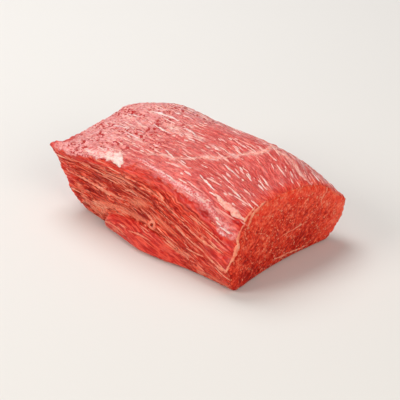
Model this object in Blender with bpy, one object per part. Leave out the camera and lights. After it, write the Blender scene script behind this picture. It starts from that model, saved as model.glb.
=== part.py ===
"""A block of raw lean beef, cut square from the round: one solid, lying on its flat underside.

The grain runs along X. The cut end that shows the ends of the fibres faces +X, the long side with
the seam and the small lower muscle faces -Y, and the tip of the membrane hangs out over the -X end.
Sizes are in millimetres, and become metres where the mesh is made. Places on the faces are shares:
across runs from 0 at the front side to 1 at the back, and up from 0 at the foot to 1 at the top.
"""

import math

import bmesh
import bpy

MM = 0.001

# The trimmed block, before its faces are drawn in or out
LENGTH = 126.0
WIDTH = 76.0
HEIGHT = 41.0
EDGE_RADIUS = 2.6

# Slices of the box along each axis, closer together towards its edges
SLICES = {"length": 38, "width": 26, "height": 14}
EDGE_CROWDING = 0.55

# The stations along the block at which its faces are measured, from the tip's end to the cut end
STATIONS = (-63.0, -38.0, -13.0, 13.0, 38.0, 63.0)

# How high the top lies at each station, on five lines from the front edge to the back edge
TOP_LINES = {
    0.0: (28.5, 33.5, 36.0, 37.0, 36.0, 33.5),
    0.25: (31.0, 36.5, 39.0, 40.5, 39.5, 37.5),
    0.5: (33.0, 39.0, 40.5, 41.0, 40.3, 36.5),
    0.75: (35.5, 41.0, 41.0, 41.0, 40.5, 31.5),
    1.0: (29.5, 34.8, 32.6, 33.0, 29.5, 19.0),
}

# How far the front side stands out at each station, on five lines from the foot to the top edge
FRONT_LINES = {
    0.0: (22.5, 26.5, 30.8, 35.2, 35.6, 36.8),
    0.3: (27.5, 30.0, 32.0, 36.2, 37.0, 38.5),
    0.6: (31.0, 30.5, 31.8, 33.8, 34.8, 34.0),
    0.8: (32.5, 31.5, 32.2, 34.2, 33.5, 31.0),
    1.0: (32.0, 34.5, 34.2, 32.5, 29.5, 25.5),
}

# How far the back side stands out at each station, on three lines from the foot to the top edge
BACK_LINES = {
    0.0: (25.0, 29.0, 31.0, 31.5, 31.5, 31.5),
    0.5: (31.0, 34.5, 36.5, 37.0, 38.0, 38.8),
    1.0: (34.0, 38.0, 39.0, 38.5, 39.5, 40.5),
}

# How far the tip's end reaches out from the foot to the top edge, along its front and its back
TIP_FRONT = {0.0: 42.0, 0.25: 48.5, 0.5: 53.0, 0.72: 53.2, 0.86: 53.8, 1.0: 64.0}
TIP_BACK = {0.0: 50.0, 0.4: 56.0, 0.8: 58.5, 1.0: 57.5}

# How far the cut end reaches out, along its front and its back, and how much its middle is drawn in
CUT_FRONT = {0.0: 63.5, 0.5: 63.0, 1.0: 62.0}
CUT_BACK = {0.0: 59.5, 0.5: 62.0, 1.0: 63.2}
CUT_HOLLOW = {0.0: 2.6, 0.4: 1.1, 1.0: 0.0}

# The joint between the upper muscle and the small lower one: a groove along the front side
SEAM_DEPTH = 1.5
SEAM_WIDTH = 0.075
SEAM_PATH = {-63.0: 0.62, -38.0: 0.45, -13.0: 0.36, 13.0: 0.22, 38.0: 0.1, 63.0: 0.0}

# The small lower muscle stands out under the joint, and starts abruptly towards the tip
LOBE_BULGE = 2.6
LOBE_PLACES = {"start": -29.0, "full": -17.0, "fading": 0.0, "end": 32.0}
LOBE_TOP = 0.42

MEAT_COLOUR = (0.55, 0.07, 0.05, 1.0)
MEAT_ROUGHNESS = 0.35


def clear_scene():
    for thing in list(bpy.data.objects):
        bpy.data.objects.remove(thing, do_unlink=True)


def curve_through(knots, at):
    """The smooth curve through {place: value} knots, read at one place, and level past its ends."""
    places = sorted(knots)
    at = min(max(at, places[0]), places[-1])
    last = len(places) - 1
    i = min(sum(at > place for place in places[1:]), last - 1)

    def slope(k):
        low, high = max(k - 1, 0), min(k + 1, last)
        return (knots[places[high]] - knots[places[low]]) / (places[high] - places[low])

    span = places[i + 1] - places[i]
    t = (at - places[i]) / span
    start, end = knots[places[i]], knots[places[i + 1]]
    return (
        start * (1 + 2 * t) * (1 - t) ** 2
        + end * t * t * (3 - 2 * t)
        + slope(i) * span * t * (1 - t) ** 2
        - slope(i + 1) * span * t * t * (1 - t)
    )


def face_through(lines, share, x):
    """How far a face reaches at x, between its lines, each of which is measured at the stations."""
    here = {place: curve_through(dict(zip(STATIONS, line)), x) for place, line in lines.items()}
    return curve_through(here, share)


def between(low, high, share):
    return low + (high - low) * share


def slice_places(half, count):
    """Evenly spread places, drawn outwards so that the rounded edges get more of them."""
    for k in range(1, count):
        t = 2 * k / count - 1
        yield half * between(t, math.sin(t * math.pi / 2), EDGE_CROWDING)


def sliced_box():
    """A box of the block's size around the origin, cut into a grid of quads on all its faces."""
    mesh = bmesh.new()
    bmesh.ops.create_cube(mesh, size=1.0)
    sizes = (LENGTH, WIDTH, HEIGHT)
    for vertex in mesh.verts:
        vertex.co = [size * part for size, part in zip(sizes, vertex.co)]
    for axis, (size, count) in enumerate(zip(sizes, SLICES.values())):
        normal = [1.0 if k == axis else 0.0 for k in range(3)]
        for place in slice_places(size / 2, count):
            everything = mesh.verts[:] + mesh.edges[:] + mesh.faces[:]
            point = [place * part for part in normal]
            bmesh.ops.bisect_plane(mesh, geom=everything, plane_co=point, plane_no=normal)
    return mesh


def round_the_edges(mesh):
    """Every point within a radius of an edge or corner is drawn onto the rounded edge."""
    inner = [size / 2 - EDGE_RADIUS for size in (LENGTH, WIDTH, HEIGHT)]
    for vertex in mesh.verts:
        core = [min(max(c, -limit), limit) for c, limit in zip(vertex.co, inner)]
        away = [c - k for c, k in zip(vertex.co, core)]
        distance = math.hypot(*away)
        vertex.co = [k + a * EDGE_RADIUS / distance for k, a in zip(core, away)]


def step(low, high, at):
    """0 before low, 1 past high, and smooth between them."""
    t = min(max((at - low) / (high - low), 0.0), 1.0)
    return t * t * (3 - 2 * t)


def seam_groove(x, up):
    """How deep the joint between the two muscles is, at a point of the front side."""
    off = (up - curve_through(SEAM_PATH, x)) / SEAM_WIDTH
    return SEAM_DEPTH * math.exp(-off * off)


def lobe_bulge(x, up):
    """How far the small lower muscle stands out, at a point of the front side."""
    growing = step(LOBE_PLACES["start"], LOBE_PLACES["full"], x)
    fading = step(LOBE_PLACES["fading"], LOBE_PLACES["end"], x)
    low = 1 - step(0.5 * LOBE_TOP, LOBE_TOP, up)
    return LOBE_BULGE * growing * (1 - fading) * low


def shape_point(co):
    """Takes a point of the rounded box to its place on the block."""
    along, across, up = (c / size + 0.5 for c, size in zip(co, (LENGTH, WIDTH, HEIGHT)))
    tip = -between(curve_through(TIP_FRONT, up), curve_through(TIP_BACK, up), across)
    cut = between(curve_through(CUT_FRONT, up), curve_through(CUT_BACK, up), across)
    cut -= curve_through(CUT_HOLLOW, up) * math.sin(math.pi * across)
    x = between(tip, cut, along)
    front = seam_groove(x, up) - lobe_bulge(x, up) - face_through(FRONT_LINES, up, x)
    back = face_through(BACK_LINES, up, x)
    y = between(front, back, across)
    z = face_through(TOP_LINES, across, x) * up
    return x, y, z


def middle_of_foot(mesh):
    """The middle of the block's box, at the height of its underside."""
    low = [min(v.co[k] for v in mesh.verts) for k in range(3)]
    high = [max(v.co[k] for v in mesh.verts) for k in range(3)]
    return (low[0] + high[0]) / 2, (low[1] + high[1]) / 2, low[2]


def meat_material():
    material = bpy.data.materials.new("raw_beef")
    material.use_nodes = True
    shader = material.node_tree.nodes["Principled BSDF"]
    shader.inputs["Base Color"].default_value = MEAT_COLOUR
    shader.inputs["Roughness"].default_value = MEAT_ROUGHNESS
    shader.inputs["Metallic"].default_value = 0.0
    return material


def make_block(collection):
    mesh = sliced_box()
    round_the_edges(mesh)
    for vertex in mesh.verts:
        vertex.co = shape_point(vertex.co)
    middle = middle_of_foot(mesh)
    for vertex in mesh.verts:
        vertex.co = [(c - m) * MM for c, m in zip(vertex.co, middle)]
    bmesh.ops.triangulate(mesh, faces=mesh.faces[:])
    bmesh.ops.recalc_face_normals(mesh, faces=mesh.faces[:])
    data = bpy.data.meshes.new("beef_joint")
    mesh.to_mesh(data)
    mesh.free()
    data.shade_smooth()
    data.materials.append(meat_material())
    block = bpy.data.objects.new("beef_joint", data)
    collection.objects.link(block)


def main():
    clear_scene()
    collection = bpy.data.collections.new("lean_beef_joint")
    bpy.context.scene.collection.children.link(collection)
    make_block(collection)


main()
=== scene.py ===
import math

import bmesh
import bpy
import numpy as np
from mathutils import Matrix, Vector, noise
from mathutils.bvhtree import BVHTree
from mathutils.geometry import delaunay_2d_cdt


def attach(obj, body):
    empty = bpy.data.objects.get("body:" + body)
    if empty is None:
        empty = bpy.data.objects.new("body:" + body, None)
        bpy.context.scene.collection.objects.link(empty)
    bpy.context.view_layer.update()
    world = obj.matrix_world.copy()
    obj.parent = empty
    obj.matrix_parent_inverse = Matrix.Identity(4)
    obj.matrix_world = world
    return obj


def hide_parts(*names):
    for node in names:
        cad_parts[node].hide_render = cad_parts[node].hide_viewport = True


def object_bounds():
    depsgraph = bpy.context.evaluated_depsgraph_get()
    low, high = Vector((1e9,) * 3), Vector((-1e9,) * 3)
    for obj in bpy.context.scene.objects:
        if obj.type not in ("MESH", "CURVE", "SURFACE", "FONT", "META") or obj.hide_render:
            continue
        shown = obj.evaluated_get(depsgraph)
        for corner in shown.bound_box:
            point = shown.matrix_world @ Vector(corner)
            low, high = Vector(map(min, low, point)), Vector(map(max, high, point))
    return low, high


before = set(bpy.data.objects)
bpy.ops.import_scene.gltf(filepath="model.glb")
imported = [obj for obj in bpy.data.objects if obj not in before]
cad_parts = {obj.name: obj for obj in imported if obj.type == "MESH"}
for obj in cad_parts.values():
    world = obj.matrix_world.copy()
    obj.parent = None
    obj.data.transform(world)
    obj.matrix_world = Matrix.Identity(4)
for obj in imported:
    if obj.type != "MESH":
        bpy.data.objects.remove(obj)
cad_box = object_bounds()
scene = bpy.context.scene
MM = 0.001


# The meat
# One piece of raw lean beef: an upper muscle, a small lower one under it along the front side, and the
# seam between them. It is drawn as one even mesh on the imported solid, which it stands for. Its relief
# is the bundles of fibres, laid bare by the knife on the sides and seen from their ends on the cut end.
MESH_CELL = 0.57
FACET_SMOOTHING = 28
LEVEL_FOOT = 0.12
BOX_INSET = 0.3
TIP_CURL = 1.6
TIP_SAG = 1.6
TIP_SWELL = 3.4

# How much the fibres drift to the front over the top, and down along the front: everywhere, and more of it
# between two places along the block
GRAIN_TURN = {"everywhere": 0.08, "more": 0.45, "from": -10, "to": 62}
GRAIN_FALL = {"everywhere": 0.04, "more": 0.26, "from": -14, "to": 16}

# Where the silvery film that covers the top ends, as heights along the front and along the back
FILM_FRONT = ((-62, 28.6), (-52, 30), (-45, 31), (-38, 32.6), (-30, 34.4), (-20, 36), (-12, 36.6), (-7, 37),
              (2, 37.6), (9, 37.4), (20, 36.4), (29, 35), (35, 33.8), (41, 31.6), (48, 27.4), (52, 24.4),
              (62, 23.6))
FILM_BACK = ((-60, 22), (0, 20), (30, 17), (62, 9))

# The joint between the muscles, and the small lower muscle's upper edge, as places along and up the front
SEAM = ((-54, 22.6), (-45, 18.3), (-31.5, 17.8), (-15.5, 17.8), (-5, 19.2), (8, 18.2), (24, 13.6))
LOBE_EDGE = ((-26, 1), (-22.5, 6), (-19.5, 9.4), (-14.5, 11.6), (-7, 12.6), (2, 13.4), (8, 13.2),
             (19, 12.2), (30, 8))

# The middle of the small cut blood vessel on the front side, and a cleft at the side's foot
VESSEL_PLACE = (11.2, 15.3)
FOOT_CLEFT = ((-38, 5.6, 0.4), (-33.5, 3.6, 0.8), (-29, 2.2, 0.8), (-24, 1.4, 0.4))


def ease(low, high, at):
    """0 before low, 1 past high, and smooth between them."""
    t = np.clip((at - low) / (high - low), 0, 1)
    return t * t * (3 - 2 * t)


def bumps(places, seed):
    """Smooth random heights at an array of places: mostly within 0.5 either way, one bump to a unit."""
    start = Vector((seed * 17.3, seed * 7.9, seed * 3.1))
    return np.array([noise.noise(start + Vector(place)) for place in places.tolist()])


def path_through(points, step):
    """A smooth path through the points, as an array of places about a step apart."""
    points = np.array(points, float)
    ends = np.vstack([2 * points[0] - points[1], points, 2 * points[-1] - points[-2]])
    made = []
    for a, b, c, d in zip(ends, ends[1:], ends[2:], ends[3:]):
        count = max(2, int(np.linalg.norm(c - b) / step))
        for t in np.arange(count) / count:
            curve = 2 * b + (c - a) * t + (2 * a - 5 * b + 4 * c - d) * t**2 + (3 * b - a - 3 * c + d) * t**3
            made.append(curve / 2)
    return np.array(made + [points[-1]])


def ramp(low, high, at):
    """What ease adds up to: 0 before low, and a slope that grows softly from there to 1 at high."""
    t = (at - low) / (high - low)
    within = np.clip(t, 0, 1)
    return (high - low) * (within**3 - within**4 / 2 + np.maximum(t - 1, 0))


def from_path(places, points):
    """How far each place lies from the path through the points, and on which side (+ is above).

    Where the points have one number more than the places, distances are counted in it: the half width.
    """
    size = places.shape[1]
    path = path_through(points, 3)
    best = np.full(len(places), np.inf)
    side = np.zeros(len(places))
    for start, end in zip(path, path[1:]):
        way = (end - start)[:size]
        t = np.clip((places - start[:size]) @ way / (way @ way), 0, 1)
        gap = places - start[:size] - t[:, None] * way
        off = np.linalg.norm(gap, axis=1)
        if len(start) > size:
            off /= start[size] + t * (end[size] - start[size])
        closer = off < best
        best = np.where(closer, off, best)
        side = np.where(closer, np.sign(way[0] * gap[:, 1] - way[1] * gap[:, 0]), side)
    return best, side


def band(places, points):
    """A soft band along a path: 1 on it, and 0 well outside its half width."""
    return np.exp(-(from_path(places, points)[0] ** 2))


def spot(along, across, centre, half_length, half_width, slope=0):
    """A soft oval mark: 1 in its middle and 0 well outside it."""
    u = (along - centre[0]) / half_length
    v = (across - centre[1] - slope * (along - centre[0])) / half_width
    return np.exp(-u * u - v * v)


def new_object(name, data):
    made = bpy.data.objects.new(name, data)
    scene.collection.objects.link(made)
    return made


def finished_mesh(made, name):
    """Applies the object's modifiers to its mesh and removes them."""
    data = bpy.data.meshes.new_from_object(made.evaluated_get(bpy.context.evaluated_depsgraph_get()))
    data.name = name
    made.modifiers.clear()
    made.data = data


def close_shape(shape, data):
    """Turns the shape's faces outwards and writes it to the mesh."""
    bmesh.ops.recalc_face_normals(shape, faces=shape.faces[:])
    shape.to_mesh(data)
    shape.free()
    return data


def level_foot(data):
    """Draws the underside level and joins its small faces into one."""
    shape = bmesh.new()
    shape.from_mesh(data)
    foot = {v for v in shape.verts if v.co.z < LEVEL_FOOT * MM}
    for v in foot:
        v.co.z = 0
    bmesh.ops.delete(shape, geom=[f for f in shape.faces if foot.issuperset(f.verts)], context="FACES")
    rim = [e for e in shape.edges if e.is_boundary]
    bmesh.ops.triangle_fill(shape, edges=rim, use_beauty=True, normal=(0, 0, -1))
    close_shape(shape, data)


def even_copy(node, name):
    """The node's surface as an even mesh of small quads, with its facets smoothed away."""
    shape = bmesh.new()
    shape.from_mesh(node.data)
    bmesh.ops.remove_doubles(shape, verts=shape.verts[:], dist=0.01 * MM)
    data = bpy.data.meshes.new(name)
    shape.to_mesh(data)
    shape.free()
    made = new_object(name, data)
    remesh = made.modifiers.new("even quads", "REMESH")
    remesh.mode = "VOXEL"
    remesh.voxel_size = MESH_CELL * MM
    smooth = made.modifiers.new("smooth facets", "SMOOTH")
    smooth.iterations = FACET_SMOOTHING
    finished_mesh(made, name)
    level_foot(made.data)
    return made


def points_of(data):
    """The mesh's points in millimetres, and the surface's direction at each."""
    co = np.empty((len(data.vertices), 3))
    out = np.empty_like(co)
    data.vertices.foreach_get("co", co.ravel())
    data.vertex_normals.foreach_get("vector", out.ravel())
    return co / MM, out


def keep_on(data, name, values):
    """Stores a value, or a direction, for each of the mesh's points."""
    kind, field = ("FLOAT", "value") if values.ndim == 1 else ("FLOAT_VECTOR", "vector")
    data.attributes.new(name, kind, "POINT").data.foreach_set(field, values.ravel().astype(np.float32))


def grain_at(co):
    """Each place's own coordinates, along and across the fibres, and the fibres' direction there."""
    x, y, z = co.T
    drifts = []
    over_top = ease(-30, 0, y)
    down_front = (1 - ease(21, 40, z)) * (1 - ease(-28, -10, y))
    for drift, where in ((GRAIN_TURN, over_top), (GRAIN_FALL, down_front)):
        ends = drift["from"], drift["to"]
        more = drift["more"] * where
        total = drift["everywhere"] * x + more * ramp(*ends, x)
        drifts.append((total, drift["everywhere"] + more * ease(*ends, x)))
    (turn, turn_rate), (fall, fall_rate) = drifts
    wave = 1.3 * bumps(co / (21, 9, 9), 31) + 0.5 * bumps(co / (8, 4, 4), 32)
    wave += 0.35 * bumps(co / (3, 2, 2), 33) + 0.55 * down_front * bumps(co / (9, 6, 4), 34)
    place = np.stack([x, y + turn + wave, z + fall + wave], 1)
    return place, np.stack([np.ones_like(x), -turn_rate, -fall_rate], 1)


meat = even_copy(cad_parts["beef_joint"], "beef_joint_meat")
co, out = points_of(meat.data)
x, y, z = co.T
grain, grain_way = grain_at(co)

# The regions of the surface: the cut end, the film over the top, and the bare sides under it
cut_end = ease(0.55, 0.8, out[:, 0]) * ease(45, 52, x)
ragged = 1.3 * bumps(co / 3.4, 41) + 0.9 * bumps(co / 1.5, 42)
film_edge = np.interp(x, *zip(*FILM_FRONT))
film_edge += (np.interp(x, *zip(*FILM_BACK)) - film_edge) * ease(-14, 18, y)
above_edge = z - film_edge
covered = ease(-0.7, 0.7, above_edge + ragged) * (1 - cut_end)
bare = (1 - covered) * (1 - cut_end)
front = bare * ease(0.3, 0.65, -out[:, 1])
foot = ease(0.7, 0.95, -out[:, 2])
above_foot = ease(0.2, 2.2, z)

on_front = co[:, [0, 2]]
seam_off = from_path(on_front, SEAM)[0]
lobe_off, lobe_side = from_path(on_front, LOBE_EDGE)
lobe = front * (lobe_side < 0) * ease(0, 1.2, lobe_off) * ease(-28, -25, x)
lobe *= 1 - ease(24, 36, x)
left_part = 1 - ease(-20, 22, x)
vessel_hole = spot(x, z, VESSEL_PLACE, 0.75, 0.75) * front
cleft = front * band(on_front, FOOT_CLEFT)


def fibre_ridges(width, length, seed):
    """Rounded bundles with sharp grooves between them: 0 in a groove, 1 on a bundle."""
    return np.minimum(np.abs(bumps(grain / (length, width, width), seed)) ** 0.7 * 1.7, 1.1)


lumps = 0.8 * bumps(co / (17, 12, 12), 1) + 0.4 * bumps(co / 6, 2)
bundles = fibre_ridges(2.3, 22, 3)
fibres = fibre_ridges(1.25, 10, 4)
strands = bumps(grain / (5, 1.1, 1.1), 5)
dimples = bumps(co / 1.9, 6)

relief = 0.5 * lumps
relief += bare * (1 - 0.55 * lobe) * (0.55 * bundles + 0.5 * fibres + 0.35 * strands - 0.7)
at_back = left_part * ease(14, 26, y)
relief += covered * (1 - 0.75 * at_back) * (0.26 * bundles + 0.24 * fibres + 0.3 * strands - 0.3)
relief += covered * left_part * 0.5 * dimples * ease(0.5, 0.9, out[:, 2])
relief += cut_end * (0.4 * bumps(co / 2.5, 7) + 0.4 * bumps(co / 1.3, 8) - 0.35 * lumps)
relief -= 0.7 * front * np.exp(-((seam_off / 0.9) ** 2)) * (1 - ease(0, 20, x))
relief -= 0.9 * front * np.exp(-((lobe_off / 1) ** 2)) * ease(-29, -26, x) * (1 - ease(20, 32, x))
relief += 0.9 * lobe
relief -= 0.9 * (vessel_hole + cleft)
relief *= above_foot * (1 - foot)

# At the tip the front corner curls up a little, the rest of the rim sags, and the side stands out below it
upper_rim = (1 - ease(-62, -46, x)) * ease(16, 28, z)
at_corner = 1 - ease(-29.5, -24, y)
co[:, 2] += upper_rim * (TIP_CURL * at_corner - TIP_SAG * (1 - at_corner))
under_corner = (1 - ease(-60, -46, x)) * (1 - ease(-26, -12, y))
co[:, 0] -= TIP_SWELL * under_corner * ease(14, 20, z) * (1 - ease(26, 30, z))

low, high = (np.array(corner) / MM for corner in cad_box)
co = np.clip(co + out * relief[:, None], low + np.array((BOX_INSET, BOX_INSET, 0)), high - BOX_INSET)
meat.data.vertices.foreach_set("co", (co * MM).ravel())
meat.data.update()
meat.data.shade_smooth()
co, out = points_of(meat.data)
x, y, z = co.T

along_surface = grain_way - out * np.sum(grain_way * out, axis=1)[:, None]
along_surface /= np.maximum(np.linalg.norm(along_surface, axis=1), 0.01)[:, None]

# Where the film is milky, with a painted sheen in it: at the tip's end, along the shoulder, and on the back
# slope
slope = ease(0.3, 0.5, out[:, 1]) * ease(-30, 20, x)
milky = 1 - 0.74 * ease(-45, 0, x) - 0.06 * ease(0, 40, x) + 0.95 * slope
milky += 0.5 * left_part * ease(12, 26, y)
milky = covered * np.clip(milky, 0, 1)

# The shoulder's whitish film with a painted highlight on it, in two strips, and a painted wet glint, with
# half widths
SHOULDER = ((-10, -25, 37.8, 0.5), (0.2, -26.2, 38.4, 1), (12.8, -28.6, 38, 1.2), (24.6, -29.9, 37.1, 1.4),
            (35.5, -30.3, 35.6, 1.7), (45, -31.5, 32.2, 2.1), (52, -32.6, 28.6, 2.3),
            (58, -33.1, 25.8, 1.7))
SHOULDER_LINE = ((9, -32, 37.4, 0.4), (17, -32.4, 36.4, 0.8), (26, -32.6, 35, 0.9), (36, -32.4, 33.2, 0.5))
WET_GLINT = ((49, -34, 26.4, 0.5), (51.5, -34, 25.5, 1.1), (54, -33.9, 24.8, 0.5))
highlight_strength = 0.95 - 0.4 * ease(34, 42, x)
shoulder_film_and_highlight = highlight_strength * band(co, SHOULDER) + 0.8 * band(co, SHOULDER_LINE) + 1.2 * band(co, WET_GLINT)
shoulder_film_and_highlight = (covered + cut_end) * np.clip(shoulder_film_and_highlight, 0, 1)

# Bright wet red: the strip under the film's edge, the lower muscle, the rims of the tip's end, the corner
# at the cut end, and a bare patch in the film beside it
WET_PATCH = ((51.5, -28.5, 33.6, 0.7), (55.2, -29.2, 32.1, 1.4), (60, -29.8, 30.2, 2.1))
strip = 0.8 * bare * np.exp(-(((above_edge + 1.7) / 1.7) ** 2)) * (y < -18)
corner = spot(x, z, (53.5, 19), 7, 6.5)
left_rim = spot(x, z, (-50.5, 17), 3.2, 7)
tip_rim = spot(x, z, (-57, 27.5), 6, 2.2)
right_part = 0.35 * ease(15, 40, x)
tip = 0.85 * covered * (1 - ease(-59.5, -55, x)) * (1 - ease(-21, -9, y))
wet_patch = covered * np.clip(1.6 * band(co, WET_PATCH), 0, 1)
bright = strip + lobe + front * (corner + left_rim + tip_rim + right_part) + tip + wet_patch
bright = np.clip(bright, 0, 1)

# The film ends softly at the cut end, where the meat glows through
near_end = covered * ease(53.5, 60, x) * ease(-29, -24, y)

# Painted shade: duller, darker brown red along the middle of the front side, and in smaller patches
front_shade = 0.8 * spot(x, z, (-12, 26), 22, 4.5, 0.05) + 1.3 * spot(x, z, (1.5, 18.2), 8, 2.2, 0.28)
front_shade += 0.9 * spot(x, z, (-36, 15.5), 9, 3.2)
front_shade = front * (1 - bright) * np.clip(front_shade, 0, 1)

# Where small dark dots crowd in the film, as places on the top
DOTTED_SPOTS = ((-36.2, -21.5), (-46.7, 8.3), (-38, -3.5), (-26.2, -2.6), (-18.1, -8), (-10, -9.7),
                (-3.3, 0))
crowded = sum(spot(x, y, place, 5, 3.4) for place in DOTTED_SPOTS)
dotted = covered * left_part * (ease(-0.25, 0.1, bumps(co / 8, 44)) + 0.8 * crowded)
dotted *= 1 - 0.75 * ease(0.35, 0.7, out[:, 1])

# Fat that shows through as soft pale marks: on the top as (place, half length, half width), and on the
# front as paths along and up it with half widths
TOP_MARKS = (((-16, 5.6), 5.6, 2), ((-11.2, 11.4), 2.6, 0.9), ((-4.7, 4), 3.4, 1.2), ((1.1, 6), 3.2, 1.2),
             ((12.2, 3.7), 3.6, 1.2), ((18, -4.9), 3.4, 1), ((-36.6, 10.4), 3.4, 0.9),
             ((-17.1, -3.8), 3, 0.8), ((-22, -12), 5, 1), ((-30, -1.5), 3, 1.1), ((24.5, 3.5), 3, 1.1),
             ((-43, 3), 4.5, 1.1))
FRONT_BANDS = (
    ((-34, 6, 1.4), (-29, 8.4, 3.2), (-24, 10.6, 3), (-18, 13, 1.9), (-8, 14.4, 1.5),
     (2, 15.2, 1.2), (9, 15.4, 1)),
    ((-23.5, 1.2, 0.5), (-17, 3, 0.8), (-10.8, 4.1, 0.7), (-2.7, 4, 0.4)),
    ((-7.2, 18.9, 1), (-1.5, 21.2, 1.9), (5.5, 23.6, 1.1)),
    ((12.6, 19.2, 0.5), (20, 17.6, 0.9), (29.7, 15.1, 0.5)),
    ((-44, 14.3, 0.8), (-40.8, 10.4, 1.3), (-37.4, 7.2, 1.2), (-33, 5, 0.8)),
    ((40, 3, 0.8), (50, 3.4, 1.2), (60, 2.6, 0.8)),
)
TOP_SEAM = ((-7.6, -19.8, 0.4), (-1.9, -17.7, 1), (6.1, -16.1, 1.3), (11.6, -12.1, 1.2), (16, -6.5, 1.6),
            (20.9, -4.2, 1.9), (24.2, 0.6, 1.6), (25.8, 5.4, 1.4), (28.6, 9.4, 1.7), (31.4, 12.8, 2.2),
            (32.1, 17.1, 1.9), (30.4, 22.6, 1.6), (28, 28, 0.5))
BACK_SEAM = ((30.6, 21.4, 0.8), (36.5, 20.4, 1.2), (41.2, 20.7, 1.6), (45.8, 19.6, 1.1), (51.4, 17.5, 1.3),
             (57.8, 15.7, 1.1), (61, 15.5, 0.4))
pale = 0.75 * covered * (band(co[:, :2], TOP_SEAM) + band(co[:, :2], BACK_SEAM))
for centre, half_length, half_width in TOP_MARKS:
    pale += 1.3 * covered * spot(x, y, centre, half_length, half_width, -0.14)
for path in FRONT_BANDS:
    pale += front * band(co[:, [0, 2]], path)

# The cut end has a painted glow along its top and back edges, where it is thin, and is darker low down
END_GLOW = 8
END_RIM = ((-20, 35.6), (-8, 37.6), (8, 36.8), (20, 33.6), (30, 27), (36.5, 19), (35, 12), (31, 6))
END_GRAIN_TILT = math.radians(39)
end_rim_glow = cut_end * np.exp(-((from_path(co[:, 1:], END_RIM)[0] / END_GLOW) ** 2))
deep = 0.7 * spot(y, z, (11, 9), 9, 5.5) + 0.8 * spot(y, z, (-27, 6), 9, 7) + 0.5 * (1 - ease(1, 9, z))
end_tone = 0.5 + 0.12 * end_rim_glow - 0.34 * np.clip(deep, 0, 1) + 0.16 * bumps(co / 7, 43)
end_along = y * math.cos(END_GRAIN_TILT) + z * math.sin(END_GRAIN_TILT)
end_across = z * math.cos(END_GRAIN_TILT) - y * math.sin(END_GRAIN_TILT)

regions = {"grain": grain, "grain_way": along_surface, "facing": out, "covered": covered}
regions |= {"milky": milky, "shoulder_film_and_highlight": shoulder_film_and_highlight, "bright": bright, "front_shade": front_shade, "near_end": near_end}
regions |= {"pale": np.clip(pale, 0, 1), "dotted": dotted, "blotchy": bare * left_part * (1 - lobe)}
regions |= {"lower_muscle": lobe, "hole_shade": np.clip(vessel_hole + 0.7 * cleft, 0, 1), "cut_end": cut_end}
regions |= {"end_tone": end_tone, "end_grain": np.stack([end_along, end_across, x], 1), "end_rim_glow": end_rim_glow}
for name, values in regions.items():
    keep_on(meat.data, name, values)


# The tree of nodes that is being drawn, a material's or a group's: one at a time
drawing = {"tree": None}


def join(value, socket):
    """Gives a socket its value: a plain one, an output, or a node's first output."""
    if isinstance(value, bpy.types.Node):
        value = value.outputs[0]
    if isinstance(value, bpy.types.NodeSocket):
        drawing["tree"].links.new(value, socket)
    else:
        socket.default_value = value


def put(kind, inputs=None, **settings):
    """Adds a node with these settings and input values."""
    made = drawing["tree"].nodes.new(kind)
    for name, value in settings.items():
        setattr(made, name, value)
    for name, value in (inputs or {}).items():
        join(value, made.inputs[name])
    return made


def math_of(operation, *values, clamp=False):
    return put("ShaderNodeMath", dict(enumerate(values)), operation=operation, use_clamp=clamp)


def vector_of(operation, *values):
    return put("ShaderNodeVectorMath", dict(enumerate(values)), operation=operation)


def product(*values):
    made = values[0]
    for value in values[1:]:
        made = math_of("MULTIPLY", made, value)
    return made


def blend_of(*shares):
    """The sum of several values, each given with its share."""
    made = 0
    for value, share in shares:
        made = math_of("MULTIPLY_ADD", value, share, made)
    return made


def spread(value, low, high, to_low=0, to_high=1):
    """Takes low to high in a value to another range, held at its ends."""
    inputs = {"Value": value, "From Min": low, "From Max": high, "To Min": to_low, "To Max": to_high}
    return put("ShaderNodeMapRange", inputs)


def over(under, shade, *shares):
    """A colour laid over another, by the product of its shares."""
    return put("ShaderNodeMix", {0: product(*shares), 6: under, 7: shade}, data_type="RGBA").outputs[2]


def cloud(place, scale, detail):
    return put("ShaderNodeTexNoise", {"Vector": place, "Scale": scale, "Detail": detail})


def stored(name, output="Fac"):
    return put("ShaderNodeAttribute", attribute_name=name).outputs[output]


def colour(red, green, blue):
    """A colour as seen on a screen, each part from 0 to 255, as the renderer's own."""
    parts = [part / 255 for part in (red, green, blue)]
    return [p / 12.92 if p <= 0.04045 else ((p + 0.055) / 1.055) ** 2.4 for p in parts] + [1]


def toned(value, *colours):
    """A colour that runs through these colours, evenly, as a value goes from 0 to 1."""
    made = put("ShaderNodeValToRGB", {0: value})
    stops = made.color_ramp.elements
    while len(stops) < len(colours):
        stops.new(0.5)
    for k, shade in enumerate(colours):
        stops[k].position = k / (len(colours) - 1)
        stops[k].color = colour(*shade)
    return made.outputs[0]


def new_group(name, kind, inputs, outputs):
    """Starts a node group, with its inputs as {type: {name: value}} and its outputs as {type: names}."""
    tree = drawing["tree"] = bpy.data.node_groups.new(name, kind)
    for socket, values in inputs.items():
        for label, value in values.items():
            made = tree.interface.new_socket(label, in_out="INPUT", socket_type="NodeSocket" + socket)
            if value is not None:
                made.default_value = value
    for socket, labels in outputs.items():
        for label in labels:
            tree.interface.new_socket(label, in_out="OUTPUT", socket_type="NodeSocket" + socket)
    return tree, tree.nodes.new("NodeGroupInput").outputs, tree.nodes.new("NodeGroupOutput").inputs


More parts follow.
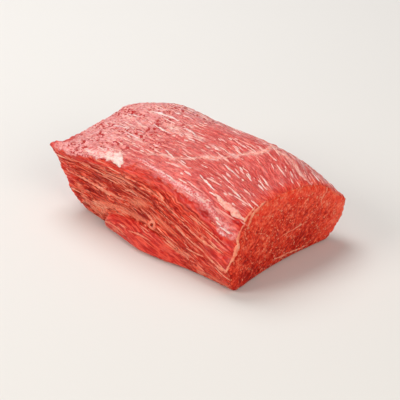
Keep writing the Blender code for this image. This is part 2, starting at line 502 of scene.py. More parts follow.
def streak_group():
    """Long narrow streaks along the fibres, and thin lines between them, in the fibres' own coordinates."""
    numbers = {"Length": 8, "Width": 1, "Detail": 2, "Low": 0.3, "High": 0.7, "Thinness": 9, "Seed": 0}
    inputs = {"Vector": {"Grain": None}, "Float": numbers}
    outputs = {"Float": ("Streaks", "Lines")}
    tree, given, results = new_group("Fibre streaks", "ShaderNodeTree", inputs, outputs)
    sizes = put("ShaderNodeCombineXYZ", {0: given["Length"], 1: given["Width"], 2: given["Width"]})
    moved = vector_of("ADD", vector_of("DIVIDE", given["Grain"], sizes), given["Seed"])
    pattern = cloud(moved, 1, given["Detail"])
    join(spread(pattern, given["Low"], given["High"]), results["Streaks"])
    off = math_of("ABSOLUTE", math_of("SUBTRACT", pattern, 0.5))
    line = math_of("SUBTRACT", 1, product(off, given["Thinness"]), clamp=True)
    join(line, results["Lines"])
    return tree


STREAKS = streak_group()


def streaks(grain, length, width, seed, low=0.38, high=0.62, detail=2, thinness=9):
    inputs = {"Grain": grain, "Length": length, "Width": width, "Low": low, "High": high}
    inputs |= {"Detail": detail, "Seed": seed, "Thinness": thinness}
    return put("ShaderNodeGroup", inputs, node_tree=STREAKS)


def bundle_ends(grain, size, seed):
    """The fibre bundles' ends, as in a cut across them: each has its own shade, and a dark rim."""
    place = vector_of("DIVIDE", grain, (1.7 * size, size, size))
    moved = vector_of("ADD", place, (seed, seed, seed))
    cells = put("ShaderNodeTexVoronoi", {"Vector": moved, "Scale": 1})
    shade = put("ShaderNodeSeparateColor", {0: cells.outputs["Color"]}).outputs[0]
    round_off = spread(cells.outputs["Distance"], 0.1, 0.75, 1, 0)
    return blend_of((shade, 0.6), (round_off, 0.4))


def grains_of(size, seed, low, high, detail=2):
    """Small round blotches of about this size in millimetres, from 0 to 1."""
    moved = vector_of("ADD", put("ShaderNodeTexCoord").outputs["Object"], (seed, seed, seed))
    return spread(cloud(moved, 1 / (size * MM), detail), low, high)


def moist_material(name, subsurface, roughness=0.34):
    """Starts a wet, slightly see-through surface, and gives its inputs too."""
    material = bpy.data.materials.new(name)
    material.use_nodes = True
    drawing["tree"] = material.node_tree
    surface = material.node_tree.nodes["Principled BSDF"].inputs
    values = {"Roughness": roughness, "IOR": 1.38, "Specular IOR Level": 0.18, "Coat Roughness": 0.24}
    values |= {"Subsurface Weight": subsurface, "Subsurface Radius": (1, 0.3, 0.15)}
    values |= {"Subsurface Scale": 1.2 * MM}
    for label, value in values.items():
        surface[label].default_value = value
    return material, surface


def finish_surface(surface, base, height, strength, depth):
    """Gives the surface its colour, and a relief of this depth in millimetres."""
    join(base, surface["Base Color"])
    bump = {"Strength": strength, "Distance": depth * MM, "Height": height}
    join(put("ShaderNodeBump", bump), surface["Normal"])


def bare_side(grain, broad, wet_red):
    """The sides that the knife laid bare: sharp fibres, darker in blotches, with painted shade in places and
    in deep clefts.
    """
    long = streaks(grain, 18, 0.8, 61, detail=3)
    sharp = streaks(grain, 6, 0.42, 67)
    laid_bare = spread(blend_of((broad, 0.22), (long, 0.46), (sharp, 0.32)), 0.15, 0.85)
    side = toned(laid_bare, (156, 10, 3), (220, 54, 33), (250, 100, 72), (255, 168, 138))
    # Painted shade: a darker, duller copy of the side's colours, laid along the middle of the front
    deep = toned(laid_bare, (108, 4, 1), (176, 30, 18), (222, 82, 56))
    side = over(side, deep, stored("front_shade"), 0.9)
    blotches = grains_of(3.4, 8, 0.5, 0.6, 3)
    dark = toned(laid_bare, (150, 8, 4), (200, 34, 22))
    side = over(side, dark, blotches, stored("blotchy"), 0.35)
    # Painted shade: dark lines in the clefts between the fibre bundles
    cleft_shade = streaks(grain, 10, 1.5, 51, thinness=15).outputs["Lines"]
    side = over(side, colour(144, 6, 3), cleft_shade, 0.85)
    return over(side, wet_red, stored("bright")), sharp


def filmed_top(grain, tone, narrow, specks, wet_red):
    """The top under its silvery film: milky, partly painted sheen, dotted, streaked, with a painted shoulder
    highlight.
    """
    top = toned(tone, (196, 14, 10), (224, 50, 38), (240, 92, 76))
    dark_flecks = streaks(grain, 6, 1.3, 71, low=0.55, high=0.62)
    top = over(top, colour(184, 8, 6), dark_flecks, 0.6)
    pale_flecks = streaks(grain, 8, 1.15, 37, low=0.53, high=0.6, detail=3)
    top = over(top, colour(250, 152, 142), pale_flecks, 0.42)
    mottle = grains_of(2.8, 6, 0.38, 0.6, 4)
    cloudy = blend_of((narrow, 0.6), (specks, 0.4))
    # The milky film's colours, which also carry the painted sheen
    milk = toned(cloudy, (226, 130, 131), (241, 168, 166), (252, 201, 199))
    top = over(top, milk, spread(mottle, 0, 1, 0.74, 1), stored("milky"))
    # Pale rims round the dark dots, partly the film's own pale lines and partly painted glints
    dots, dotted = grains_of(1.7, 7, 0.44, 0.6, 1), stored("dotted")
    top = over(top, colour(252, 184, 178), spread(dots, 0.35, 0.5), dotted, 0.65)
    top = over(top, colour(188, 24, 26), spread(dots, 0.54, 0.7), dotted, 0.95)
    # Painted shade: thin dark lines in the grooves beside the fibres
    groove_shade = streaks(grain, 9, 1, 83, detail=1, thinness=22).outputs["Lines"]
    top = over(top, colour(166, 12, 12), groove_shade, 0.62)
    # Painted highlight: the whitish shoulder band, with the light's sheen painted into it
    highlight_white = toned(specks, (234, 132, 136), (255, 214, 212))
    top = over(top, highlight_white, stored("shoulder_film_and_highlight"), spread(cloudy, 0.2, 0.6, 0.25, 1))
    glowing = toned(tone, (206, 30, 16), (234, 62, 42), (252, 116, 90))
    top = over(top, glowing, stored("near_end"), 0.85)
    return over(top, wet_red, stored("bright"))


def cut_fibres(specks):
    """The cut end, where each bundle of fibres has its own shade, and its height for the relief."""
    grain = stored("end_grain", "Vector")
    ends = blend_of((bundle_ends(grain, 1, 3), 0.7), (bundle_ends(grain, 1.9, 9), 0.3))
    ends = blend_of((ends, 1), (specks, 0.25), (stored("end_tone"), 0.8))
    ends = spread(ends, 0.45, 1.45)
    end = toned(ends, (144, 8, 3), (188, 30, 14), (216, 54, 32), (240, 90, 62), (255, 144, 112))
    # Painted glow along the cut end's thin top and back edges
    glow = toned(ends, (218, 38, 20), (248, 74, 50), (255, 122, 92))
    return over(end, glow, stored("end_rim_glow"), 0.8), ends


def meat_material():
    material, surface = moist_material("raw_beef", 0.35)
    grain = stored("grain", "Vector")
    broad = streaks(grain, 16, 2, 3)
    narrow = streaks(grain, 8.5, 0.95, 11, detail=3)
    fine = streaks(grain, 3.2, 0.5, 23)
    tone = spread(blend_of((broad, 0.28), (narrow, 0.5), (fine, 0.22)), 0.15, 0.85)
    specks = grains_of(1, 5, 0.4, 0.64)
    wetness = blend_of((tone, 1), (stored("lower_muscle"), 0.18))
    wet_red = toned(wetness, (180, 10, 5), (214, 30, 20), (246, 88, 66))
    covered, cut = stored("covered"), stored("cut_end")
    side, sharp = bare_side(grain, broad, wet_red)
    end, ends = cut_fibres(specks)
    lean = over(side, filmed_top(grain, tone, narrow, specks, wet_red), covered)
    lean = over(lean, end, cut)
    fat = over(colour(250, 144, 114), colour(254, 202, 194), covered)
    patchy = product(spread(tone, 0.05, 0.4), spread(specks, 0, 1, 0.6, 1))
    lean = over(lean, fat, stored("pale"), patchy)
    # Painted shade: near black red in the cut vessel's opening and the cleft at the foot
    lean = over(lean, colour(80, 6, 6), stored("hole_shade"))

    join(spread(narrow, 0, 1, 0.45, 0.28), surface["Roughness"])
    wet = blend_of((covered, 0.1), (stored("bright"), 0.35), (stored("shoulder_film_and_highlight"), 0.25))
    join(wet, surface["Coat Weight"])
    along = blend_of((narrow, 0.5), (fine, 0.25), (sharp, 0.35))
    height = put("ShaderNodeMix", {0: cut, 2: along, 3: ends}, data_type="FLOAT").outputs[0]
    finish_surface(surface, lean, height, 0.9, 0.45)
    return material


def add_to_meat(piece):
    """The piece is hung on the same body as the meat, so it moves with it."""
    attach(piece, "root")


meat.data.materials.clear()
meat.data.materials.append(meat_material())
add_to_meat(meat)
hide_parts("beef_joint")


# The marbling
# Short streaks of fat between the fibres, which show on the top as pale strokes along the grain, and
# thinner ones on the sides. Each is a flat spindle laid on the meat where its kind grows.
MARBLING = {"Closest": 1.8, "Most": 0.15, "Shortest": 1.8, "Longest": 12, "Width": 0.8, "Height": 0.2,
            "Stray": 0.12}
SIDE_THREADS = {"Closest": 1.2, "Most": 0.2, "Shortest": 3, "Longest": 15, "Width": 0.5, "Height": 0.26,
                "Stray": 0.06}


def spindle(name, rings, sides):
    """A strand of unit length and width, pointed at both ends. Its lift is -1 below and 1 on top."""
    shape = bmesh.new()
    lift = shape.verts.layers.float.new("lift")
    ends = [shape.verts.new((x, 0, 0)) for x in (-0.5, 0.5)]
    hoops = []
    for k in range(rings):
        t = (k + 1) / (rings + 1)
        girth = math.sin(math.pi * t) ** 0.7
        hoop = []
        for s in range(sides):
            angle = 2 * math.pi * s / sides
            point = shape.verts.new((t - 0.5, 0.5 * girth * math.cos(angle), 0.1 * girth * math.sin(angle)))
            point[lift] = girth * math.sin(angle)
            hoop.append(point)
        hoops.append(hoop)
    for first, second in zip(hoops, hoops[1:]):
        for s in range(sides):
            shape.faces.new((first[s], first[s - 1], second[s - 1], second[s]))
    for s in range(sides):
        shape.faces.new((ends[0], hoops[0][s - 1], hoops[0][s]))
        shape.faces.new((ends[1], hoops[-1][s], hoops[-1][s - 1]))
    return close_shape(shape, bpy.data.meshes.new(name))


def geo(kind, inputs=None, **settings):
    return put("GeometryNode" + kind, inputs, **settings)


def named(name, kind="FLOAT"):
    return geo("InputNamedAttribute", {"Name": name}, data_type=kind).outputs[0]


def nearest_on(surface, value):
    """What a value is at the place of the surface that lies nearest."""
    inputs = {"Mesh": surface, "Value": value, "Sample Position": geo("InputPosition")}
    return geo("SampleNearestSurface", inputs, data_type="FLOAT_VECTOR")


def shape_group(name, inputs):
    return new_group(name, "GeometryNodeTree", inputs, {"Geometry": ["Geometry"]})


def lay_group():
    """Lays a piece on the meat: each point goes to the nearest place of it, and out by its height."""
    inputs = {"Geometry": {"Geometry": None, "Meat": None}, "Float": {"Height": 0}}
    tree, given, results = shape_group("Lay on the meat", inputs)
    ground = nearest_on(given["Meat"], geo("InputPosition"))
    facing = nearest_on(given["Meat"], named("facing", "FLOAT_VECTOR"))
    place = vector_of("MULTIPLY_ADD", facing, given["Height"], ground)
    join(geo("SetPosition", {"Geometry": given["Geometry"], "Position": place}), results["Geometry"])
    return tree


LAY = lay_group()


def laid_on(surface, geometry, height):
    return geo("Group", {"Geometry": geometry, "Meat": surface, "Height": height}, node_tree=LAY)


def shape_of(thing):
    return geo("ObjectInfo", {"Object": thing}, transform_space="RELATIVE").outputs["Geometry"]


def at_random(low, high, seed):
    return put("FunctionNodeRandomValue", {2: low, 3: high, "Seed": seed}, data_type="FLOAT").outputs[1]


def keep(geometry, name, value, domain="POINT", kind="FLOAT"):
    inputs = {"Geometry": geometry, "Name": name, "Value": value}
    return geo("StoreNamedAttribute", inputs, data_type=kind, domain=domain)


def scatter_group():
    """Scatters strands over the meat, more of them where the named share is high, along its fibres."""
    sizes = ("Closest", "Most", "Shortest", "Longest", "Width", "Height", "Stray", "Raggedness")
    inputs = {"Geometry": {"Strand": None}, "Object": {"Meat": None}, "Float": dict.fromkeys(sizes, 0.001)}
    inputs |= {"String": {"Where": ""}, "Int": {"Seed": 1}, "Material": {"Material": None}}
    tree, given, results = shape_group("Scattered strands", inputs)
    surface = shape_of(given["Meat"])
    share = {"Mesh": surface, "Seed": given["Seed"], "Density Factor": named(given["Where"])}
    share |= {"Distance Min": given["Closest"], "Density Max": given["Most"]}
    grown = geo("DistributePointsOnFaces", share, distribute_method="POISSON")
    along = {"Vector": named("grain_way", "FLOAT_VECTOR")}
    along = put("FunctionNodeAlignRotationToVector", along, axis="X")
    upright = {"Rotation": along, "Vector": grown.outputs["Normal"]}
    upright = put("FunctionNodeAlignRotationToVector", upright, axis="Z", pivot_axis="X")
    stray = product(given["Stray"], at_random(-1, 1, 5))
    stray = {"Rotation": upright, "Rotate By": put("ShaderNodeCombineXYZ", {2: stray})}
    upright = put("FunctionNodeRotateRotation", stray, rotation_space="LOCAL")
    chance = math_of("POWER", at_random(0, 1, 1), 1.6)
    length = spread(chance, 0, 1, given["Shortest"], given["Longest"])
    width = product(given["Width"], at_random(0.5, 1.5, 2))
    size = put("ShaderNodeCombineXYZ", {0: length, 1: width, 2: width})
    placed = {"Points": grown.outputs["Points"], "Instance": given["Strand"]}
    placed |= {"Rotation": upright, "Scale": size}
    placed = geo("InstanceOnPoints", placed)
    height = product(given["Height"], at_random(0.6, 1.3, 3))
    placed = keep(placed, "thickness", height, "INSTANCE")
    placed = keep(placed, "shade", at_random(0, 1, 4), "INSTANCE")
    real = geo("RealizeInstances", {"Geometry": placed})
    here = geo("InputPosition")
    frayed = vector_of("SUBTRACT", cloud(here, 0.8 / MM, 1).outputs["Color"], (0.5, 0.5, 0.5))
    frayed = vector_of("MULTIPLY", frayed, given["Raggedness"])
    real = geo("SetPosition", {"Geometry": real, "Offset": frayed})
    rise = product(named("lift"), named("thickness"))
    done = {"Geometry": laid_on(surface, real, rise), "Material": given["Material"]}
    join(geo("SetMaterial", done), results["Geometry"])
    return tree


SCATTER = scatter_group()


def made_by(tree, name, data, values):
    """A piece made from a mesh by a tree of Geometry Nodes, whose named inputs get these values."""
    made = new_object(name, data)
    maker = made.modifiers.new("maker", "NODES")
    maker.node_group = tree
    for socket in tree.interface.items_tree:
        if socket.in_out == "INPUT" and socket.name in values:
            maker[socket.identifier] = values[socket.name]
    finished_mesh(made, name)
    made.data.shade_smooth()
    return made


def scattered(name, strand, where, sizes, seed, material):
    """A strand has rings and sides. Sizes are in millimetres, and Most in strands to a square one."""
    values = {label: size * MM for label, size in sizes.items()}
    values |= {"Most": sizes["Most"] / MM**2, "Stray": sizes["Stray"], "Raggedness": sizes["Width"] * MM}
    values |= {"Meat": meat, "Where": where, "Seed": seed, "Material": material}
    add_to_meat(made_by(SCATTER, name, spindle(name, *strand), values))


def fat_material(name, deep, pale, roughness=0.34):
    """Fat between the fibres: each strand has its own shade, and small grains of red show through."""
    material, surface = moist_material(name, 0.3, roughness)
    shine = over(colour(*deep), colour(*pale), stored("shade"))
    shine = over(shine, colour(*deep), grains_of(1.3, 3, 0.45, 0.7), 0.5)
    finish_surface(surface, shine, grains_of(0.7, 4, 0.3, 0.7), 0.5, 0.1)
    return material


over_middle = ease(-58, -30, x) * ease(-40, -32, y) * (1 - 0.55 * ease(15, 35, y))
in_drifts = ease(-0.12, 0.22, bumps(co / (11, 6, 6), 61))
marbled = covered * over_middle * (0.25 + 0.75 * in_drifts) * ease(0.5, 1.5, above_edge)
marbled *= (1 - 0.9 * near_end) * (1 - wet_patch)
keep_on(meat.data, "marbled", marbled)
in_bunches = ease(0, 0.3, bumps(grain / (25, 4, 4), 62))
threaded = bare * (1 - 0.6 * lobe) * above_foot * (1 - 0.8 * strip) * (0.08 + 0.5 * in_bunches)
keep_on(meat.data, "threaded", threaded)
marbling_fat = fat_material("marbling_fat", (246, 146, 138), (255, 218, 212))
scattered("marbling", (6, 6), "marbled", MARBLING, 3, marbling_fat)
thread_fat = fat_material("thread_fat", (236, 88, 62), (255, 178, 152))
scattered("side_threads", (7, 5), "threaded", SIDE_THREADS, 5, thread_fat)


# The grains on the cut end
# Where the fibres are cut across, small grains of fat show between their bundles as pale points.
END_GRAINS = {"Closest": 0.85, "Most": 0.75, "Shortest": 0.6, "Longest": 1.9, "Width": 0.7, "Height": 0.14,
              "Stray": 0.9}

in_rows = ease(-0.1, 0.3, bumps(co @ np.array(((1, 0, 0), (0, 0.09, 0.16), (0, -0.3, 0.16))), 63))
keep_on(meat.data, "grainy", cut_end * above_foot * (0.15 + 0.7 * in_rows))
grain_fat = fat_material("grain_fat", (232, 88, 62), (252, 162, 132), 0.42)
scattered("end_grains", (3, 5), "grainy", END_GRAINS, 9, grain_fat)


# The seams of fat
# Fat grown in the joints between the muscles: an uneven flat strand along each joint, where it comes to
# the surface. Each strand follows a path of places and widths in millimetres, and is laid on the meat.
FRONT_SEAM = ((-51.5, 21, 0.3), (-46.8, 19.7, 1), (-37.7, 19.4, 1.7), (-31.9, 19.2, 2), (-23.9, 18.9, 1.6),
              (-15.6, 19.1, 1.1), (-10.1, 19.3, 0.7), (-4.5, 20.1, 0.3))
CORNER_STREAK = ((59.7, 11, 1.1), (55.8, 11.4, 1.1), (49.8, 12.6, 0.9), (45.1, 14.2, 0.7),
                 (42.3, 15.3, 0.5), (38, 16.6, 0.2))
LONG_STRANDS = (
    ((15, 23.1, 0.3), (28.1, 19.1, 0.7), (41, 15.3, 0.3)),
    ((33.7, 28.2, 0.3), (44.3, 24.6, 0.7), (55.2, 21.2, 0.3)),
    ((27.5, 23.6, 0.3), (41.1, 19.9, 0.8), (55.8, 16.7, 0.3)),
    ((34.3, 12.9, 0.3), (40, 12.6, 0.9), (44.8, 12.5, 0.3)),
    ((8.6, 31.7, 0.3), (15, 30, 0.6), (21.7, 27.5, 0.3)),
    ((-44.5, 29, 0.3), (-22.3, 27.6, 0.6), (2.3, 25.8, 0.3)),
    ((-23.8, 30, 0.3), (-8, 29.8, 0.6), (8.1, 28.1, 0.3)),
    ((18, 12.4, 0.3), (26, 10.6, 0.7), (36, 7.6, 0.3)),
    ((-22.5, 4.6, 0.3), (-18.4, 5.6, 1.1), (-12.1, 5.7, 1), (-6.5, 5.1, 0.3)),
    ((-3, 7.8, 0.3), (4, 8.8, 0.8), (12, 8.5, 0.3)),
)
TOP_STROKES = (
    ((-37, 10.9, 0.3), (-31, 11.9, 1.2), (-24, 12.6, 1.1), (-18.5, 12, 0.3)),
    ((-34, -9.2, 0.3), (-29, -10, 1.1), (-22, -10.6, 0.3)),
    ((-46, 5.6, 0.3), (-41, 5.4, 1), (-36, 4.9, 0.3)),
    ((-44, -6.5, 0.3), (-38.5, -6, 1), (-33.5, -6.6, 0.3)),
    ((-27, 17.5, 0.3), (-21.5, 18.2, 0.9), (-15.5, 18, 0.3)),
    ((-26, 2.5, 0.3), (-20, 2, 0.9), (-13, 0.8, 0.3)),
    ((-3.4, -13, 0.3), (1.2, -14.6, 0.9), (6.1, -16.1, 0.3)),
    ((25, -19.4, 0.3), (31, -21.4, 1), (37.6, -22.9, 0.3)),
)
END_SEAM = ((59, -20, 35.9, 0.4), (59.4, -21.1, 35.4, 0.7), (59.7, -23.9, 34.5, 0.8),
            (60.2, -27.2, 32.8, 0.9), (60.5, -29.6, 29.8, 0.7), (60.6, -32.2, 26.6, 0.5),
            (61.2, -33.4, 23.8, 1.5), (61.7, -33.8, 20.8, 2.1), (61.2, -35.5, 17.8, 1.5),
            (60.6, -37.4, 14.7, 1), (59.7, -39, 11, 0.9))
END_BRANCH = ((60, -14, 37, 0.3), (60.4, -17.6, 35.9, 0.8), (61, -22.7, 34, 1), (61.5, -25.4, 31.7, 0.8),
              (61.7, -27.6, 28, 0.3))
END_LIP = ((-8, 4.8, 0.3), (-0.7, 3.9, 1), (5, 3.5, 1.1), (11.3, 3, 1), (16.1, 2.8, 0.3))
END_STREAK = ((-4, 15.6, 0.2), (-1, 16.1, 0.5), (2.6, 16.2, 0.25), (5.3, 16.4, 0.6), (12, 16.6, 0.2))
BACK_STREAK = ((27.5, 30.6, 0.3), (24.7, 28.4, 0.6), (21.8, 25.8, 0.8), (21.6, 23, 0.7), (22.9, 20.3, 0.3))
SHOULDER_PATCH = ((39.4, -24.9, 37.1, 0.4), (43.4, -25.9, 36.1, 1.9), (47.8, -26.7, 35.2, 3.2),
                  (52.6, -27.3, 34.2, 3.1), (56.6, -27.7, 33.2, 1.9), (60.2, -27.4, 32.6, 0.8))
SEAM_STEP = 0.45

ground = BVHTree.FromPolygons(co.tolist(), [face.vertices[:] for face in meat.data.polygons])
FAR = 200
TOP, FRONT, END = (0, 0, 1), (0, -1, 0), (1, 0, 0)


def seen_on(side, paths):
    """Paths of places on a side, and widths, laid on the meat's surface as met from outside."""
    way = Vector(side)
    laid = []
    for path in paths:
        places = np.insert(np.array(path, float), np.flatnonzero(side)[0], 0, axis=1).tolist()
        laid.append([(*ground.ray_cast(Vector(at) + way * FAR, -way)[0], width) for *at, width in places])
    return laid


def paths_mesh(name, paths):
    """The paths as lines of edges, with their widths kept on their points."""
    lines = [path_through(path, 1) for path in paths]
    points = np.vstack(lines)
    starts = np.cumsum([len(line) for line in lines])
    edges = [(k - 1, k) for k in range(1, len(points)) if k not in starts]
    data = bpy.data.meshes.new(name)
    data.from_pydata((points[:, :3] * MM).tolist(), edges, [])
    keep_on(data, "width", points[:, 3] * MM)
    return data


def seam_group():
    """Fat along paths: an uneven round strand, flattened and laid on the meat."""
    inputs = {"Geometry": {"Paths": None}, "Object": {"Meat": None}, "Material": {"Material": None}}
    inputs |= {"Float": {"Step": 0.001, "Flatness": 0.3, "Unevenness": 0.5}}
    tree, given, results = shape_group("Fat along paths", inputs)
    surface = shape_of(given["Meat"])
    here = geo("InputPosition")
    path = geo("MeshToCurve", {"Mesh": given["Paths"]})
    path = geo("ResampleCurve", {"Curve": path, "Length": given["Step"]}, mode="LENGTH")
    path = laid_on(surface, path, 0)
    path = keep(path, "centre", here, kind="FLOAT_VECTOR")
    swell = math_of("SUBTRACT", cloud(here, 0.45 / MM, 1), 0.5)
    swell = math_of("MULTIPLY_ADD", swell, given["Unevenness"], 0.5)
    girth = product(named("width"), swell)
    ring = geo("CurvePrimitiveCircle", {"Resolution": 10, "Radius": 1})
    solid = {"Curve": path, "Profile Curve": ring, "Scale": girth, "Fill Caps": True}
    solid = geo("CurveToMesh", solid)
    off = vector_of("SUBTRACT", here, named("centre", "FLOAT_VECTOR"))
    facing = nearest_on(surface, named("facing", "FLOAT_VECTOR"))
    rise = vector_of("DOT_PRODUCT", off, facing).outputs["Value"]
    rise = product(rise, given["Flatness"])
    solid = geo("RealizeInstances", {"Geometry": laid_on(surface, solid, rise)})
    done = {"Geometry": solid, "Material": given["Material"]}
    join(geo("SetMaterial", done), results["Geometry"])
    return tree


SEAMS = seam_group()


def seam_material(name, deep, pale, stains=1):
    """Fat in a joint: pale and a little see-through, stained red in patches."""
    material, surface = moist_material(name, 0.35, 0.36)
    large, small = grains_of(2.2, 3, 0.4, 0.62), grains_of(0.8, 5, 0.42, 0.62)
    stain = blend_of((large, 0.6), (small, 0.4))
    finish_surface(surface, toned(product(stain, stains), pale, deep), stain, 0.6, 0.12)
    return material


def seam_of_fat(name, paths, material, flatness=0.24, unevenness=1.3):
    values = {"Meat": meat, "Material": material, "Step": SEAM_STEP * MM}
    values |= {"Flatness": flatness, "Unevenness": unevenness}
    made = made_by(SEAMS, name, paths_mesh(name, paths), values)
    shape = bmesh.new()
    shape.from_mesh(made.data)
    close_shape(shape, made.data)
    add_to_meat(made)


top_fat = seam_material("top_fat", (240, 116, 104), (255, 196, 186))
stroke_fat = seam_material("stroke_fat", (246, 150, 142), (255, 226, 222), 0.5)
side_fat = seam_material("side_fat", (238, 84, 58), (255, 166, 138), 0.75)
patch_fat = seam_material("patch_fat", (236, 104, 94), (255, 192, 178), 0.75)
seam_of_fat("top_seams", seen_on(TOP, (TOP_SEAM, BACK_SEAM)), top_fat, 0.16)
seam_of_fat("top_strokes", seen_on(TOP, TOP_STROKES), stroke_fat, 0.2)
seam_of_fat("shoulder_patch", [SHOULDER_PATCH], patch_fat, 0.14, 0.9)
seam_of_fat("side_seams", seen_on(FRONT, (FRONT_SEAM, CORNER_STREAK, *LONG_STRANDS)), side_fat)
across_end = seen_on(END, (END_LIP, END_STREAK, BACK_STREAK))
seam_of_fat("end_seams", [END_SEAM, END_BRANCH, *across_end], side_fat)


# The cut vessel
# A small blood vessel, cut across where the lower muscle meets the upper one: a pale ring of its wall.
VESSEL = {"radius": 1.7, "wall": 1.3, "points": 16}
ring = []
for k in range(VESSEL["points"] + 1):
    angle = 2 * math.pi * k / VESSEL["points"]
    across, up = VESSEL["radius"] * math.cos(angle), VESSEL["radius"] * math.sin(angle)
    ring.append((VESSEL_PLACE[0] + across, VESSEL_PLACE[1] + up, VESSEL["wall"]))
vessel_wall = seam_material("vessel_wall", (234, 92, 70), (252, 156, 130), 0.7)
seam_of_fat("vessel", seen_on(FRONT, [ring]), vessel_wall, 0.5, 0.8)


# The scrap of membrane
# A torn scrap of the whitish membrane that wrapped the muscle, left lying over the top front edge. Its
# outline is given as places along the block and angles round its top front edge, from straight up
# towards the front.
SKIN_AXIS = (-24, 26)
SKIN_EDGE = ((-40, 33), (-38.6, 22), (-36.5, 13), (-33.5, 9), (-31, 7), (-28.3, 2), (-26, -2), (-22.5, -3),
             (-20, 4), (-18.2, 8), (-16.8, 15), (-15.2, 20), (-13.6, 27), (-12.4, 33), (-11.6, 40),
             (-11.2, 47), (-13, 45), (-15, 41), (-16.6, 42), (-18, 39), (-19.6, 36), (-20.8, 44), (-22, 40),
             (-24.2, 39), (-26.2, 44), (-27.4, 50), (-28.8, 45), (-31.2, 46), (-33.4, 44), (-35.4, 41),
             (-37.8, 38))
SKIN_CELL = 0.55
SKIN_LIFT = 0.04
SKIN_THICK = 0.2
SKIN_DEPTH = 0.1
SKIN_FRINGE = 1
SKIN_FADING = 5
SKIN_REACH = 11


def membrane_outline():
    """The torn outline, close set and a little frayed, as flat places: along, and round times its reach."""
    edge = np.array(SKIN_EDGE, float)
    edge[:, 1] = np.radians(edge[:, 1]) * SKIN_REACH
    made = []
    for start, end in zip(edge, np.roll(edge, -1, axis=0)):
        count = max(1, round(np.linalg.norm(end - start) / SKIN_CELL))
        for t in np.arange(count) / count:
            made.append(start + (end - start) * t)
    made = np.array(made)
    frayed = bumps(np.column_stack([made * 1.1, np.zeros(len(made))]), 71)
    return made + np.column_stack([0.5 * frayed, 0.5 * np.roll(frayed, 3)])


def inside_and_edge(outline):
    """Places spread evenly inside the outline, and how far each is from it."""
    low, high = outline.min(0), outline.max(0)
    across = np.arange(low[0], high[0], SKIN_CELL)
    along = np.arange(low[1], high[1], SKIN_CELL)
    grid = np.array([(u, v) for k, u in enumerate(across) for v in along + (k % 2) * SKIN_CELL / 2])
    crossings = np.zeros(len(grid), int)
    nearest = np.full(len(grid), np.inf)
    for start, end in zip(outline, np.roll(outline, -1, axis=0)):
        level = (start[1] > grid[:, 1]) != (end[1] > grid[:, 1])
        rise = end[1] - start[1] or 1e-9
        crossings += level & (grid[:, 0] < start[0] + (grid[:, 1] - start[1]) / rise * (end[0] - start[0]))
        way = end - start
        t = np.clip((grid - start) @ way / (way @ way), 0, 1)
        nearest = np.minimum(nearest, np.linalg.norm(grid - start - t[:, None] * way, axis=1))
    kept = (crossings % 2 == 1) & (nearest > 0.5 * SKIN_CELL)
    return grid[kept], nearest[kept]


outline = membrane_outline()
inside, inset = inside_and_edge(outline)
flat = np.vstack([outline, inside])
inset = np.concatenate([np.zeros(len(outline)), inset])
loop = [(k, (k + 1) % len(outline)) for k in range(len(outline))]
flat, _, triangles, _, _, _ = delaunay_2d_cdt([Vector(p) for p in flat], loop, [], 1, 1e-6)

along, round_edge = np.array(flat).T
puckers = 0.14 * bumps(np.column_stack([along / 2.2, round_edge / 2.2, inset]), 72) + 0.06
round_far = np.degrees(round_edge / SKIN_REACH)
at_fringe = np.maximum(ease(20, 34, round_far), ease(-24, -18, along))
full = ease(0, SKIN_FADING + (SKIN_FRINGE - SKIN_FADING) * at_fringe, inset)
fading = ease(0, SKIN_FADING, inset)
milk = (fading + (1 - fading) * at_fringe) * (0.62 + 0.38 * ease(-30, -20, along))
upper, lower = [], []
for (u, v), share, pucker in zip(flat, full, puckers):
    turn = v / SKIN_REACH
    way = Vector((0, -math.sin(turn), math.cos(turn)))
    skin = ground.ray_cast(Vector((u, *SKIN_AXIS)), way)[0]
    upper.append(skin + way * (SKIN_LIFT + share * (SKIN_THICK + pucker)))
    lower.append(skin - way * SKIN_DEPTH)
shape = bmesh.new()
milk_layer = shape.verts.layers.float.new("milk")
points = [shape.verts.new(place * MM) for place in upper + lower]
for point, share in zip(points, milk):
    point[milk_layer] = share
below = points[len(upper):]
for a, b, c in triangles:
    shape.faces.new((points[a], points[b], points[c]))
    shape.faces.new((below[c], below[b], below[a]))
for a, b in loop:
    shape.faces.new((points[a], below[a], below[b], points[b]))
membrane_data = close_shape(shape, bpy.data.meshes.new("membrane"))
membrane_data.shade_smooth()
membrane = new_object("membrane", membrane_data)


def membrane_material():
    """Wet whitish skin: milky where it lies thick, and mauve where the meat shows through."""
    material, surface = moist_material("membrane", 0.3, 0.3)
    large, small = grains_of(3.2, 3, 0.4, 0.6), grains_of(1.1, 5, 0.4, 0.6)
    milky = spread(blend_of((large, 0.4), (small, 0.5), (stored("milk"), 0.75)), 0.3, 1.5)
    milk = toned(milky, (222, 108, 106), (232, 146, 144), (244, 182, 178), (250, 208, 202), (253, 222, 214))
    finish_surface(surface, milk, milky, 0.4, 0.15)
    return material


membrane_data.materials.append(membrane_material())
add_to_meat(membrane)


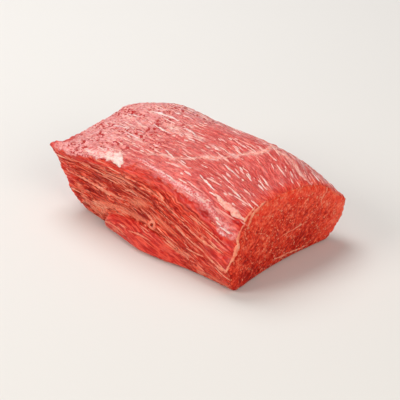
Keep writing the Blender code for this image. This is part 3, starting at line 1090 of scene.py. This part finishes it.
# The floor, the light and the camera
# A plain pale floor, a big soft light from the upper left and behind, a weaker one from the front left,
# which puts the sheen on the shoulder, and a weak fill on the cut end.
FLOOR_SIZE = 3000
VIEW = {"azimuth": 44, "elevation": 27, "distance": 1047.6, "target": (-11.6, 18.6, 0)}
FRAME_PIXELS = 400
FOCAL_PIXELS = 2200

floor_data = bpy.data.meshes.new("floor")
shape = bmesh.new()
bmesh.ops.create_grid(shape, x_segments=1, y_segments=1, size=FLOOR_SIZE / 2 * MM)
shape.to_mesh(floor_data)
shape.free()
floor = new_object("floor", floor_data)
paper = bpy.data.materials.new("pale_paper")
paper.use_nodes = True
surface = paper.node_tree.nodes["Principled BSDF"].inputs
surface["Base Color"].default_value = colour(226, 225, 224)
surface["Roughness"].default_value = 0.8
floor_data.materials.append(paper)


def direction(azimuth, elevation):
    """The way from the block towards a place that far round it and that far up, in degrees."""
    a, e = math.radians(azimuth), math.radians(elevation)
    return Vector((math.sin(a) * math.cos(e), -math.cos(a) * math.cos(e), math.sin(e)))


def soft_light(name, azimuth, elevation, distance, size, power, tint):
    lamp = bpy.data.lights.new(name, "AREA")
    lamp.shape = "DISK"
    lamp.size = size * MM
    lamp.energy = power
    lamp.color = tint
    made = new_object(name, lamp)
    way = direction(azimuth, elevation)
    made.location = way * distance * MM
    made.rotation_euler = way.to_track_quat("Z", "Y").to_euler()


soft_light("key_light", -112, 58, 900, 600, 5.05, (1, 0.975, 0.95))
soft_light("front_light", -25, 33, 1000, 500, 4.4, (1, 0.95, 0.88))
soft_light("end_light", 75, 30, 1000, 700, 4.2, (1, 0.93, 0.81))

world = bpy.data.worlds.new("studio")
world.use_nodes = True
sky = world.node_tree.nodes["Background"].inputs
sky["Color"].default_value = (1, 0.99, 0.98, 1)
sky["Strength"].default_value = 0.26
scene.world = world
scene.view_settings.view_transform = "Standard"

camera_data = bpy.data.cameras.new("camera")
camera_data.sensor_width = 36
camera_data.lens = camera_data.sensor_width * FOCAL_PIXELS / FRAME_PIXELS
camera_data.clip_end = 10
camera = new_object("camera", camera_data)
toward_camera = direction(VIEW["azimuth"], VIEW["elevation"])
camera.location = (Vector(VIEW["target"]) + toward_camera * VIEW["distance"]) * MM
camera.rotation_euler = toward_camera.to_track_quat("Z", "Y").to_euler()
scene.camera = camera
